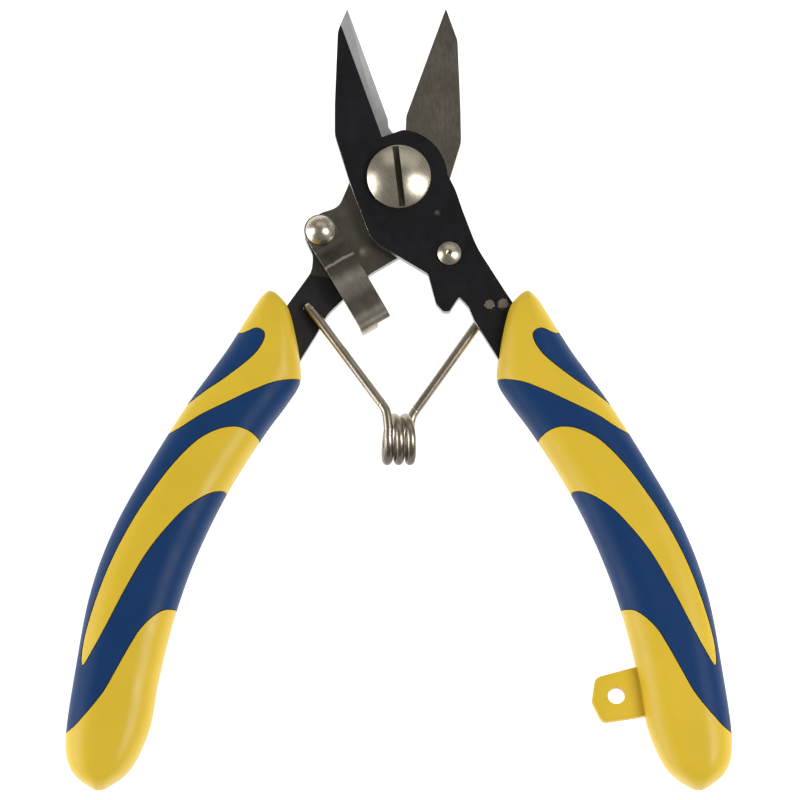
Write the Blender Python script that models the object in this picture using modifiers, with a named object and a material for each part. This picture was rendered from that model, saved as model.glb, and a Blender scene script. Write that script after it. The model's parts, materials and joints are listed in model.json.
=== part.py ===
"""Spring-loaded scissor cutter with a side latch, lying open on its side.

Two flat halves cross at a slotted pivot screw. A hairpin spring with a short coil
pushes the handles apart, and a sheet-metal latch on the rear half hooks behind a
nose on the front half to hold the jaws shut. Each handle wears a yellow grip with
blue inlays, and the right grip ends in a small lanyard tab.

Lengths are millimetres measured from the pivot axis (x, y) and from the surface
that the cutter lies on (z). Each is turned into metres where a shape is made.
"""

import math

import bmesh
import bpy
from mathutils import Vector

MM = 0.001
GAP = 0.3                       # play between two neighbouring pieces

# Overall layout
PIVOT_Y = 38.477               # pivot axis in front of the middle of the whole cutter
GRIP_THICK = 12.5
MID_Z = GRIP_THICK / 2
PLATE_THICK = 2.5
FRONT_LOW = MID_Z + GAP / 2
FRONT_TOP = FRONT_LOW + PLATE_THICK
REAR_TOP = MID_Z - GAP / 2
REAR_LOW = REAR_TOP - PLATE_THICK

# Pivot
BOSS_RADIUS = 8.5
PIVOT_RADIUS = 2.5
HEAD_RADIUS = 5.6
HEAD_RISE = 2.5
SLOT_WIDTH = 1.2
SLOT_DEPTH = 1.3
SLOT_LEAN = math.radians(6.6)
WASHER_RADIUS = 4.9
WASHER_THICK = 0.5
NUT_RADIUS = 4.4
NUT_THICK = 2.0

# Stop pin on the front half
STOP = (8.8, -13.5)
STOP_HEAD_RADIUS = 2.1
STOP_RISE = 0.9
STOP_RADIUS = 1.5

# Latch on the rear half
LATCH = (-13.7, -9.15)
LATCH_ANGLE = math.radians(-60)
LATCH_SHEET = 1.0
LATCH_HALF_WIDTH = 2.85
LATCH_LENGTH = 19.8             # rivet axis to the outer face of the turned-down end
LATCH_RAMP = (4.2, 7.0)         # where the sheet climbs over the front half
LATCH_BEND = 1.9                # outer radius of the turned-down end
LATCH_END_LOW = FRONT_LOW + 0.1
LATCH_TONGUE_TRIM = 2.6         # width taken off the turned-down tongue, on the side of the pivot
RIVET_HEAD_RADIUS = 2.6
RIVET_RISE = 1.6
RIVET_RADIUS = 1.2

# Spring
WIRE_RADIUS = 0.83
SPRING_EYE = (15.8, -22.5)      # hole in the right tang, mirrored in the left one
COIL_RADIUS = 3.72              # centre line of the wire
COIL_Y = -45.9
COIL_PITCH = 1.98
COIL_TURNS = 2.5
COIL_SKEW = 0.17                # how far the coil's front leans right of its back, per height
COIL_STEPS = 14                 # points in one turn

# Lanyard tab
TAB_THICK = 3.0
TAB_CORNERS = [(45.0, -84.9, 0), (34.0, -87.9, 1.6), (33.4, -92.1, 1.6), (35.2, -95.7, 1.4),
               (45.5, -94.1, 0)]
TAB_HOLE = (37.7, -91.0)
TAB_HOLE_RADIUS = 1.5

# Inlays
INLAY_DEPTH = 1.2

# Blade grinding
GRIND_WIDTH = 2.2
GRIND_RUN = 2.9                 # how far the grinding runs on past the heel
EDGE_LAND = 0.35                # metal left at the cutting edge under the grinding

# Edge of a right-hand tang from the boss into the grip, and back along its inner side
TANG_OUTER = [(9.9, -2.2, 12), (11.1, -5.8, 20), (13.6, -12.4, 20), (18.8, -20.6, 0),
              (24.0, -28.5, 0), (31.0, -40.0, 30), (41.0, -56.0, 40), (47.2, -71.0, 0)]
TANG_END = [(48.0, -76.0, 1.5), (43.5, -77.0, 1.5)]
TANG_INNER = [(41.0, -70.0, 0), (33.2, -57.0, 40), (22.8, -41.0, 30), (16.4, -30.6, 0),
              (14.3, -27.2, 5), (13.1, -25.2, 0)]

# Blades: the cutting edge from its tip to its heel, then the back from the boss to the tip
FRONT_TIP = (-9.05, 30.45)
FRONT_HEEL = (-1.9, 10.6)
FRONT_NECK = [(-1.85, 9.3, 0.6), (-0.95, 8.1, 0.4)]
FRONT_BACK = [(-8.6, -0.8, 8), (-11.2, 7.6, 4), (-11.2, 13.0, 30), (-10.7, 25.9, 4)]
REAR_TIP = (8.25, 30.65)
REAR_HEEL = (1.3, 11.4)
REAR_BACK = [(8.7, -0.4, 6), (10.9, 6.8, 4), (10.8, 12.6, 30), (10.3, 24.9, 4)]

# Lower left side of the front half with the hook that the latch catches
HOOK_SIDE = [(12.2, -23.0, 2.5), (10.5, -21.1, 0.4), (8.8, -23.75, 0.5), (7.7, -23.75, 0.8),
             (6.5, -22.4, 0.6), (5.1, -17.1, 1.2), (-3.4, -12.0, 3), (-5.1, -10.2, 2)]

# Rear half between its boss and its tang: the inner side, then the ear of the latch
REAR_INNER = [(-12.6, -23.9, 8), (-5.1, -16.7, 8), (0.6, -13.3, 1.0), (5.6, -8.6, 4)]
EAR_SIDE = [(-8.8, -0.8, 4), (-10.5, -4.8, 3), (-13.9, -5.9, 2.6), (-16.9, -9.3, 2.6),
            (-15.0, -13.4, 2.5), (-15.2, -16.2, 4)]

# Pairs of points down the inner and the outer side of a right-hand grip
GRIP_RAILS = [
    ((21.7, -20.1), (22.7, -19.8)),
    ((19.3, -22.8), (24.4, -21.4)),
    ((17.9, -27.9), (26.4, -24.5)),
    ((17.1, -32.9), (28.9, -28.5)),
    ((17.2, -36.1), (30.6, -31.1)),
    ((19.4, -39.7), (33.2, -34.7)),
    ((23.6, -45.5), (36.9, -39.9)),
    ((29.8, -55.5), (43.0, -49.7)),
    ((35.1, -66.5), (49.5, -61.5)),
    ((38.8, -77.1), (53.7, -73.1)),
    ((41.5, -88.1), (56.2, -86.5)),
    ((43.1, -96.7), (57.8, -98.5)),
    ((46.4, -103.7), (56.7, -104.1)),
    ((51.0, -107.2), (52.6, -107.4)),
]
GRIP_STATIONS = 40
GRIP_SIDES = 20
GRIP_SQUARENESS = 2.7           # exponent of the section: 2 is an ellipse
GRIP_FLAT = 1.05                # how far the section runs past the flats

# Edges of the blue inlays on a right-hand grip
TEARDROP = [(30.5, -26.8), (27.4, -27.9), (24.7, -27.2), (23.3, -28.5), (25.0, -31.7),
            (29.5, -35.4), (33.2, -37.8), (38.5, -40.7), (42.0, -37.3)]
BAND = [(12.0, -35.9), (19.9, -36.3), (25.0, -38.0), (29.5, -40.1), (34.1, -42.3), (40.5, -45.5),
        (48.0, -44.3), (64.0, -72.3), (64.0, -99.8), (57.5, -97.6), (54.6, -95.2), (51.2, -91.1),
        (48.8, -86.9), (46.5, -82.8), (44.4, -79.6), (41.2, -76.8), (36.0, -74.3), (27.0, -60.3),
        (28.6, -56.2), (32.0, -55.9), (36.5, -58.5), (40.1, -62.1), (43.7, -66.7), (47.2, -72.7),
        (50.3, -78.7), (52.8, -83.3), (54.8, -86.2), (54.6, -81.9), (52.7, -75.2), (49.8, -67.8),
        (46.1, -60.8), (42.5, -55.4), (39.0, -50.9), (35.3, -47.2), (32.3, -45.4), (29.3, -44.6),
        (26.2, -45.1), (20.0, -48.3), (12.0, -44.3)]

YELLOW = (0.72, 0.47, 0.03)
BLUE = (0.014, 0.045, 0.17)
BLACK_OXIDE = (0.016, 0.017, 0.022)
GROUND_STEEL = (0.085, 0.073, 0.06)
NICKEL = (0.42, 0.37, 0.28)
SPRING_STEEL = (0.3, 0.26, 0.2)


# Scene, materials and objects


def new_collection(name):
    collection = bpy.data.collections.new(name)
    bpy.context.scene.collection.children.link(collection)
    return collection


def new_empty(name, place):
    """An empty on a joint's axis. place is (x, y) from the pivot."""
    empty = bpy.data.objects.new(name, None)
    empty.location = Vector((place[0], place[1] + PIVOT_Y, 0)) * MM
    parts.objects.link(empty)
    return empty


def new_material(name, colour, roughness, metallic):
    material = bpy.data.materials.new(name)
    material.use_nodes = True
    shader = material.node_tree.nodes["Principled BSDF"]
    shader.inputs["Base Color"].default_value = (*colour, 1)
    shader.inputs["Roughness"].default_value = roughness
    shader.inputs["Metallic"].default_value = metallic
    return material


def finish_part(piece, joint, colour, roughness, metallic):
    """Gives a piece its material and hangs it on the empty of its joint."""
    piece.data.materials.clear()
    piece.data.materials.append(new_material(piece.name, colour, roughness, metallic))
    piece.data.shade_smooth()
    piece.data.set_sharp_from_angle(angle=math.radians(35))
    piece.parent = joint
    piece.location -= joint.location - front_joint.location


def object_from_bmesh(name, shape, collection):
    bmesh.ops.recalc_face_normals(shape, faces=shape.faces)
    mesh = bpy.data.meshes.new(name)
    shape.to_mesh(mesh)
    shape.free()
    piece = bpy.data.objects.new(name, mesh)
    collection.objects.link(piece)
    if collection == cutters:
        piece.parent = front_joint
        piece.hide_render = True
        piece.display_type = "WIRE"
    return piece


def mesh_from_curve(curve_object, collection):
    """Turns a curve object into a welded mesh object of the same name."""
    name = curve_object.name
    bpy.context.view_layer.update()
    graph = bpy.context.evaluated_depsgraph_get()
    mesh = bpy.data.meshes.new_from_object(curve_object.evaluated_get(graph))
    shape = bmesh.new()
    shape.from_mesh(mesh)
    bmesh.ops.remove_doubles(shape, verts=shape.verts, dist=1e-6)
    matrix = curve_object.matrix_world.copy()
    bpy.data.objects.remove(curve_object)
    bpy.data.meshes.remove(mesh)
    piece = object_from_bmesh(name, shape, collection)
    piece.matrix_basis = matrix
    return piece


def boolean(piece, cutter, operation="DIFFERENCE"):
    modifier = piece.modifiers.new(cutter.name, "BOOLEAN")
    modifier.operation = operation
    modifier.object = cutter
    return piece


# Outlines


def rounded(points, steps=5):
    """Corner points (x, y, radius) turned into an outline whose corners are arcs."""
    outline = []
    for i, (x, y, radius) in enumerate(points):
        corner = Vector((x, y))
        before = Vector(points[i - 1][:2]) - corner
        after = Vector(points[(i + 1) % len(points)][:2]) - corner
        turn = math.pi - before.angle(after)
        if radius == 0 or turn < 0.02:
            outline.append(corner)
            continue
        reach = radius * math.tan(turn / 2)
        reach = min(reach, 0.48 * before.length, 0.48 * after.length)
        start = corner + before.normalized() * reach
        end = corner + after.normalized() * reach
        for step in range(steps + 1):
            t = step / steps
            outline.append(start * (1 - t) ** 2 + corner * 2 * t * (1 - t) + end * t * t)
    return outline


def arc(radius, start, end, steps):
    """Corner points of no radius along an arc about the pivot, in degrees."""
    turns = [math.radians(start + (end - start) * i / steps) for i in range(steps + 1)]
    return [(radius * math.cos(a), radius * math.sin(a), 0) for a in turns]


def mirrored(points):
    """The same corners on the other side of the cutter, in the same winding."""
    return [(-point[0], *point[1:]) for point in reversed(points)]


def smooth_rail(points, t):
    """The point at t, from 0 to 1, on a Catmull-Rom curve through the points."""
    place = t * (len(points) - 1)
    i = min(int(place), len(points) - 2)
    t = place - i
    near = [Vector(points[min(max(k, 0), len(points) - 1)]) for k in range(i - 1, i + 3)]
    p0, p1, p2, p3 = near
    bend = 2 * p0 - 5 * p1 + 4 * p2 - p3
    twist = 3 * p1 - p0 - 3 * p2 + p3
    return p1 + 0.5 * t * (p2 - p0 + t * (bend + t * twist))


def grown(outline, distance):
    """The outline moved out by a distance, along the mean normal of its sides."""
    area = sum(a.cross(b) for a, b in zip(outline, outline[1:] + outline[:1]))
    side = 1 if area > 0 else -1
    moved = []
    for i, point in enumerate(outline):
        along = (point - outline[i - 1]).normalized()
        onward = (outline[(i + 1) % len(outline)] - point).normalized()
        normal = Vector((along.y + onward.y, -along.x - onward.x))
        if normal.length < 0.2:
            normal = along
        moved.append(point + normal.normalized() * distance * side)
    return moved


# Solids


def plate(name, outline, low, high, collection):
    """A flat piece cut to the outline, between two heights."""
    curve = bpy.data.curves.new(name, "CURVE")
    curve.dimensions = "2D"
    curve.fill_mode = "BOTH"
    curve.extrude = (high - low) / 2 * MM
    spline = curve.splines.new("POLY")
    spline.points.add(len(outline) - 1)
    for target, point in zip(spline.points, outline):
        target.co = (point.x * MM, point.y * MM, 0, 1)
    spline.use_cyclic_u = True
    piece = bpy.data.objects.new(name, curve)
    piece.location.z = (low + high) / 2 * MM
    collection.objects.link(piece)
    return mesh_from_curve(piece, collection)


def cylinder(name, place, low, high, radius, collection, sides=24):
    shape = bmesh.new()
    bmesh.ops.create_cone(shape, cap_ends=True, segments=sides, radius1=radius * MM,
                          radius2=radius * MM, depth=(high - low) * MM)
    piece = object_from_bmesh(name, shape, collection)
    piece.location = Vector((place[0], place[1], (low + high) / 2)) * MM
    return piece


def drill(piece, place, radius):
    """A round hole through the whole height of a piece."""
    name = f"{piece.name}_hole_{len(piece.modifiers)}"
    return boolean(piece, cylinder(name, place, -1, GRIP_THICK + 1, radius, cutters))


def turned(name, profile, place, collection, steps=28):
    """A solid of revolution about a vertical axis. The profile (radius, z) runs downwards."""
    mesh = bpy.data.meshes.new(name)
    points = [(radius * MM, 0, z * MM) for radius, z in profile]
    mesh.from_pydata(points, [(i, i + 1) for i in range(len(points) - 1)], [])
    piece = bpy.data.objects.new(name, mesh)
    piece.location = Vector((place[0], place[1], 0)) * MM
    collection.objects.link(piece)
    screw = piece.modifiers.new("turn", "SCREW")
    screw.steps = screw.render_steps = steps
    screw.use_merge_vertices = True
    screw.merge_threshold = 1e-6
    return piece


def dome(radius, base, rise, steps=6):
    """Profile of a domed head from its top to its rim, a little flattened at the top."""
    turns = [math.pi / 2 * i / steps for i in range(steps + 1)]
    return [(radius * math.sin(a), base + rise * math.cos(a) ** 0.8) for a in turns[:-1]] + [(radius, base)]


def wire(name, points, collection):
    curve = bpy.data.curves.new(name, "CURVE")
    curve.dimensions = "3D"
    curve.bevel_depth = WIRE_RADIUS * MM
    curve.bevel_resolution = 2
    curve.use_fill_caps = True
    spline = curve.splines.new("POLY")
    spline.points.add(len(points) - 1)
    for target, point in zip(spline.points, points):
        target.co = (*(Vector(point) * MM), 1)
    piece = bpy.data.objects.new(name, curve)
    collection.objects.link(piece)
    return mesh_from_curve(piece, collection)


# Blades and tangs


def grinding(name, tip, heel, low, high):
    """Wedge that grinds a blade back from its cutting edge."""
    tip, heel = Vector(tip), Vector(heel)
    along = (tip - heel).normalized()
    inward = Vector((along.y, -along.x)) * math.copysign(1, tip.x)
    start, end = heel - along * GRIND_RUN, tip + along * 5
    outside = -inward * 3
    depth = (high - low) * 1.02
    section = [(Vector((0, 0)), low), (inward * GRIND_WIDTH, low + depth), (outside, low + depth),
               (outside, low)]
    shape = bmesh.new()
    for base in (start, end):
        for offset, z in section:
            place = base + offset
            shape.verts.new((place.x * MM, place.y * MM, z * MM))
    bmesh.ops.convex_hull(shape, input=shape.verts)
    return object_from_bmesh(name, shape, cutters)


def front_outline():
    blade = [(*FRONT_TIP, 0.15), (*FRONT_HEEL, 3)] + FRONT_NECK
    boss = arc(BOSS_RADIUS, 83, 4, 9)
    return rounded(blade + boss + TANG_OUTER + TANG_END + TANG_INNER + HOOK_SIDE + FRONT_BACK)


def rear_outline():
    blade = [(*REAR_HEEL, 3), (*REAR_TIP, 0.15)] + REAR_BACK[::-1]
    boss = arc(BOSS_RADIUS, 172, 82, 10)
    tang = mirrored(TANG_OUTER[4:] + TANG_END + TANG_INNER[:-1])
    return rounded(tang + EAR_SIDE[::-1] + boss + blade + REAR_INNER[::-1])


def make_front_half():
    piece = plate("front_half", front_outline(), FRONT_LOW, FRONT_TOP, parts)
    drill(piece, (0, 0), PIVOT_RADIUS + GAP)
    drill(piece, STOP, STOP_RADIUS + GAP)
    drill(piece, SPRING_EYE, WIRE_RADIUS + GAP)
    boolean(piece, grinding("front_grinding", FRONT_TIP, FRONT_HEEL, FRONT_LOW + EDGE_LAND, FRONT_TOP))
    finish_part(piece, front_joint, BLACK_OXIDE, 0.32, 0.85)


def make_rear_half():
    piece = plate("rear_half", rear_outline(), REAR_LOW, REAR_TOP, parts)
    drill(piece, (0, 0), PIVOT_RADIUS + GAP)
    drill(piece, LATCH, RIVET_RADIUS + GAP)
    drill(piece, (-SPRING_EYE[0], SPRING_EYE[1]), WIRE_RADIUS + GAP)
    boolean(piece, grinding("rear_grinding", REAR_TIP, REAR_HEEL, REAR_TOP - EDGE_LAND, REAR_LOW))
    finish_part(piece, jaw_joint, GROUND_STEEL, 0.35, 0.9)


# Fasteners


def make_pivot():
    base = FRONT_TOP + GAP
    low = REAR_LOW - WASHER_THICK - NUT_THICK - 2 * GAP
    screw = turned("pivot_screw", dome(HEAD_RADIUS, base, HEAD_RISE)
                   + [(PIVOT_RADIUS, base), (PIVOT_RADIUS, low), (0, low)], (0, 0), parts)
    shape = bmesh.new()
    bmesh.ops.create_cube(shape, size=1)
    bmesh.ops.scale(shape, verts=shape.verts, vec=Vector((SLOT_WIDTH, 15, 2 * SLOT_DEPTH)) * MM)
    slot = object_from_bmesh("screw_slot", shape, cutters)
    slot.location.z = (base + HEAD_RISE) * MM
    slot.rotation_euler.z = SLOT_LEAN
    boolean(screw, slot)
    finish_part(screw, front_joint, NICKEL, 0.22, 1)

    top = REAR_LOW - GAP
    washer = cylinder("pivot_washer", (0, 0), top - WASHER_THICK, top, WASHER_RADIUS, parts, 32)
    drill(washer, (0, 0), PIVOT_RADIUS + GAP)
    finish_part(washer, front_joint, SPRING_STEEL, 0.35, 1)

    top -= WASHER_THICK + GAP
    nut = cylinder("pivot_nut", (0, 0), top - NUT_THICK, top, NUT_RADIUS, parts, 6)
    drill(nut, (0, 0), PIVOT_RADIUS + GAP)
    finish_part(nut, front_joint, NICKEL, 0.3, 1)


def make_stop_pin():
    base = FRONT_TOP + GAP
    profile = dome(STOP_HEAD_RADIUS, base, STOP_RISE, 4)
    profile += [(STOP_RADIUS, base), (STOP_RADIUS, REAR_LOW), (0, REAR_LOW)]
    pin = turned("stop_pin", profile, STOP, parts, 20)
    finish_part(pin, front_joint, NICKEL, 0.3, 1)


# Latch


def latch_side_profile():
    """Heights of the latch's lower face along its length, out to the turned-down end."""
    low, high = REAR_TOP + GAP, FRONT_TOP + GAP
    path = [(-LATCH_HALF_WIDTH, low), (LATCH_RAMP[0], low), (LATCH_RAMP[1], high)]
    inner = LATCH_BEND - LATCH_SHEET
    centre = (LATCH_LENGTH - LATCH_BEND, high + LATCH_SHEET - LATCH_BEND)
    turns = [math.pi / 2 * (1 - step / 4) for step in range(5)]
    path += [(centre[0] + inner * math.cos(a), centre[1] + inner * math.sin(a)) for a in turns]
    return path + [(LATCH_LENGTH - LATCH_SHEET, LATCH_END_LOW)]


def offset_profile(path, distance):
    """The path moved sideways, to its left, keeping the sheet's thickness round each bend."""
    points = [Vector(point) for point in path]
    moved = []
    for i, point in enumerate(points):
        before = (point - points[max(i - 1, 0)]).normalized()
        after = (points[min(i + 1, len(points) - 1)] - point).normalized()
        before, after = before or after, after or before
        mid = (before + after).normalized()
        reach = distance / max(mid.dot(after), 0.5)
        moved.append(point + Vector((-mid.y, mid.x)) * reach)
    return moved


def make_latch():
    low = [Vector(point) for point in latch_side_profile()]
    high = offset_profile(low, LATCH_SHEET)
    shape = bmesh.new()
    rows = []
    for side in (-1, 1):
        ring = low + high[::-1]
        rows.append([shape.verts.new((p.x * MM, side * LATCH_HALF_WIDTH * MM, p.y * MM)) for p in ring])
    count = len(rows[0])
    for i in range(count):
        shape.faces.new((rows[0][i], rows[0][(i + 1) % count], rows[1][(i + 1) % count], rows[1][i]))
    shape.faces.new(rows[0])
    shape.faces.new(rows[1][::-1])
    lever = object_from_bmesh("latch_lever", shape, parts)
    lever.location = Vector((*LATCH, 0)) * MM
    lever.rotation_euler.z = LATCH_ANGLE
    boolean(lever, latch_blank(), "INTERSECT")
    boolean(lever, tongue_trim())
    drill(lever, LATCH, RIVET_RADIUS + GAP)
    finish_part(lever, latch_joint, NICKEL, 0.3, 1)


def over_latch(name, outline, low, high):
    """A cutter over an outline that is drawn along the latch, from its rivet."""
    cutter = plate(name, outline, low, high, cutters)
    cutter.location += Vector((*LATCH, 0)) * MM
    cutter.rotation_euler.z = LATCH_ANGLE
    return cutter


def latch_blank():
    """The latch seen from above: round at the rivet, square at the end."""
    half = LATCH_HALF_WIDTH
    turns = [math.radians(90 + 180 * i / 10) for i in range(11)]
    outline = [Vector((half * math.cos(a), half * math.sin(a))) for a in turns]
    end = [Vector((LATCH_LENGTH + 1, -half)), Vector((LATCH_LENGTH + 1, half))]
    return over_latch("latch_blank", outline + end, REAR_LOW, GRIP_THICK)


def tongue_trim():
    """Narrows the turned-down end below the top of the front half, so it can swing past the nose."""
    near, far = LATCH_LENGTH - LATCH_BEND - 1, LATCH_LENGTH + 1
    side, out = LATCH_HALF_WIDTH - LATCH_TONGUE_TRIM, LATCH_HALF_WIDTH + 1
    outline = [Vector(corner) for corner in ((near, side), (far, side), (far, out), (near, out))]
    return over_latch("tongue_trim", outline, REAR_LOW, FRONT_TOP + GAP)


def make_latch_rivet():
    base = REAR_TOP + LATCH_SHEET + 2 * GAP
    foot = REAR_LOW - GAP
    profile = dome(RIVET_HEAD_RADIUS, base, RIVET_RISE, 5)
    profile += [(RIVET_RADIUS, base), (RIVET_RADIUS, foot), (RIVET_RADIUS + 0.9, foot),
                (RIVET_RADIUS + 0.6, foot - 0.7), (0, foot - 0.7)]
    rivet = turned("latch_rivet", profile, LATCH, parts, 24)
    finish_part(rivet, jaw_joint, NICKEL, 0.22, 1)


# Spring


def coil_point(turn):
    """Centre of the wire at a turn of the coil, 0 at the front where the left leg comes in."""
    angle = 2 * math.pi * turn
    height = COIL_RADIUS * math.cos(angle)
    across = COIL_PITCH * (turn - COIL_TURNS / 2) + COIL_SKEW * height
    return Vector((across, COIL_Y - COIL_RADIUS * math.sin(angle), MID_Z + height))


def spring_leg(side):
    """Leg from the hole in the tang down to the coil. side is -1 for the left leg, 1 for the right."""
    clear = GAP + WIRE_RADIUS
    level = REAR_TOP + clear if side < 0 else FRONT_LOW - clear
    through = -1 if side < 0 else 1
    eye = Vector((side * SPRING_EYE[0], SPRING_EYE[1], level))
    into = eye + Vector((0, 0, through * 3.6))
    start = coil_point(0 if side < 0 else COIL_TURNS)
    shoulder = Vector((start.x + side * 0.35, COIL_Y + 4.6, start.z))
    along = (shoulder - eye).normalized()
    points = [into, eye + Vector((0, 0, through * 0.9)), eye + along * 0.25 + Vector((0, 0, through * 0.25)),
              eye + along * 0.9]
    return points + [shoulder - along * 1.2, shoulder + Vector((0, -0.4, 0)), start + Vector((0, 1.6, 0))]


def make_spring():
    half = COIL_TURNS / 2
    count = int(COIL_STEPS * half)
    cut = 1.5 * GAP / (2 * math.pi * COIL_RADIUS)
    left = [coil_point((half - cut) * i / count) for i in range(count + 1)]
    right = [coil_point(COIL_TURNS - (half - cut) * i / count) for i in range(count + 1)]
    finish_part(wire("spring_left", spring_leg(-1) + left, parts), left_spring_joint,
                SPRING_STEEL, 0.3, 1)
    finish_part(wire("spring_right", spring_leg(1) + right, parts), right_spring_joint,
                SPRING_STEEL, 0.3, 1)


# Grips


def grip_section(inner, outer, thick, squareness):
    """Ring of points round a grip: a squarish oval, cut flat at the top and the bottom."""
    middle, reach = (inner + outer) / 2, (outer - inner) / 2
    ring = []
    for i in range(GRIP_SIDES):
        angle = 2 * math.pi * (i + 0.5) / GRIP_SIDES
        across = math.copysign(abs(math.cos(angle)) ** (2 / squareness), math.cos(angle))
        up = math.copysign(abs(math.sin(angle)) ** (2 / squareness), math.sin(angle))
        up = max(-1.0, min(1.0, up * GRIP_FLAT))
        place = middle + reach * across
        ring.append((place.x, place.y, MID_Z + thick * up))
    return ring


def grip_solid(name, side, inset, collection):
    """One grip, lofted down its two rails. side is -1 for the left grip; inset shrinks it."""
    inner_rail = [pair[0] for pair in GRIP_RAILS]
    outer_rail = [pair[1] for pair in GRIP_RAILS]
    trim = inset / 90
    shape = bmesh.new()
    rings = []
    for i in range(GRIP_STATIONS):
        t = (1 - math.cos(math.pi * i / (GRIP_STATIONS - 1))) / 2
        t = trim + (1 - 2 * trim) * t
        inner, outer = smooth_rail(inner_rail, t), smooth_rail(outer_rail, t)
        across = (outer - inner).normalized()
        reach = min(inset, 0.4 * (outer - inner).length)
        inner, outer = inner + across * reach, outer - across * reach
        fullness = (1 - abs(2 * t - 1) ** 9) ** 0.5
        thick = max((GRIP_THICK / 2) * fullness, 0.8 + inset) - inset
        ring = grip_section(inner, outer, thick, GRIP_SQUARENESS)
        rings.append([shape.verts.new((side * x * MM, y * MM, z * MM)) for x, y, z in ring])
    for near, far in zip(rings, rings[1:]):
        for i in range(GRIP_SIDES):
            k = (i + 1) % GRIP_SIDES
            shape.faces.new((near[i], near[k], far[k], far[i]))
    shape.faces.new(rings[0])
    shape.faces.new(rings[-1][::-1])
    return object_from_bmesh(name, shape, collection)


def sided(points, side):
    outline = [Vector(point) for point in points]
    return outline if side > 0 else [Vector((-p.x, p.y)) for p in reversed(outline)]


def make_inlay(name, grip, side, edge, core, joint):
    """A blue inlay laid into a recess of the grip. Returns the grip's core, cut for it."""
    outline = sided(edge, side)
    inlay = grip_solid(name, side, 0, parts)
    boolean(inlay, plate(name + "_edge", outline, -1, GRIP_THICK + 1, cutters), "INTERSECT")
    boolean(inlay, grip_solid(name + "_inside", side, INLAY_DEPTH, cutters))
    recess = plate(name + "_recess", grown(outline, GAP), -1, GRIP_THICK + 1, cutters)
    boolean(recess, grip_solid(name + "_floor", side, INLAY_DEPTH + GAP, cutters))
    boolean(core, recess)
    finish_part(inlay, joint, BLUE, 0.5, 0)


def make_grip(label, side, joint, low, high):
    core = grip_solid(f"{label}_grip", side, 0, parts)
    if side > 0:
        low_face = MID_Z - TAB_THICK / 2
        tab = plate("lanyard_tab", rounded(TAB_CORNERS), low_face, low_face + TAB_THICK, cutters)
        boolean(core, tab, "UNION")
        drill(core, TAB_HOLE, TAB_HOLE_RADIUS)
    for part, edge in (("upper", TEARDROP), ("main", BAND)):
        make_inlay(f"{label}_{part}_inlay", core, side, edge, core, joint)
    tang = rounded(TANG_OUTER + TANG_END + TANG_INNER)
    outline = [Vector((side * p.x, p.y)) for p in tang]
    boolean(core, plate(f"{label}_slot", grown(outline, GAP), low - GAP, high + GAP, cutters))
    finish_part(core, joint, YELLOW, 0.45, 0)


for leftover in list(bpy.data.objects):
    bpy.data.objects.remove(leftover)
parts = new_collection("spring_cutter")
cutters = new_collection("cutters")
front_joint = new_empty("front_frame", (0, 0))
jaw_joint = new_empty("jaw_pivot", (0, 0))
latch_joint = new_empty("latch_pivot", LATCH)
right_spring_joint = new_empty("right_spring_eye", SPRING_EYE)
left_spring_joint = new_empty("spring_crown", (0, COIL_Y + COIL_RADIUS + WIRE_RADIUS))
make_front_half()
make_rear_half()
make_pivot()
make_stop_pin()
make_latch()
make_latch_rivet()
make_spring()
make_grip("right", 1, front_joint, FRONT_LOW, FRONT_TOP)
make_grip("left", -1, jaw_joint, REAR_LOW, REAR_TOP)
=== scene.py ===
"""Looks of the spring-loaded cutter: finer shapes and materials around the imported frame.

Lengths are millimetres from the pivot axis (x, y) and from the floor (z), as in the
part's own design. place() turns them into metres in the frame.
"""

import json
import math

import bmesh
import bpy
from mathutils import Matrix, Vector


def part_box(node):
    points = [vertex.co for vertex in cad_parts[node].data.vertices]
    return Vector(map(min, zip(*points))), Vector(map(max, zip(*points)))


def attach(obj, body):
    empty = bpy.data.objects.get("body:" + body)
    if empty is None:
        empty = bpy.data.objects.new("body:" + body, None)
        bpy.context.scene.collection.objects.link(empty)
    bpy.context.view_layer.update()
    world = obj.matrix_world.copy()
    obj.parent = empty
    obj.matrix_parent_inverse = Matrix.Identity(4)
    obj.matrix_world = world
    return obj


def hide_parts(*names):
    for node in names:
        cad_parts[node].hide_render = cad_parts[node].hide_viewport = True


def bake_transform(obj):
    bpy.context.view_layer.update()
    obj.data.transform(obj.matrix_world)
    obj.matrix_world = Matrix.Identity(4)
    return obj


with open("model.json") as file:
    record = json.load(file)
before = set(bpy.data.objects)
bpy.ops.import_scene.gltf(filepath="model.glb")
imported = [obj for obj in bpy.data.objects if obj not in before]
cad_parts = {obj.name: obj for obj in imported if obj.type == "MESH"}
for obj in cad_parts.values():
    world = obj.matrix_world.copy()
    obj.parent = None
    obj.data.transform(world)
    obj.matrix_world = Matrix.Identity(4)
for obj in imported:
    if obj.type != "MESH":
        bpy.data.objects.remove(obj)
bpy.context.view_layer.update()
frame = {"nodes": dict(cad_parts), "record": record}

MM = 0.001
JOINTS = {joint["name"]: Vector(joint["pos_m"]) for joint in frame["record"]["behaviour"]["joints"]}
PIVOT = JOINTS["jaw_pivot"]
MID_Z = PIVOT.z / MM


def from_pivot(joint):
    """A joint's axis in millimetres from the pivot axis."""
    return tuple((JOINTS[joint] - PIVOT).xy / MM)


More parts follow.
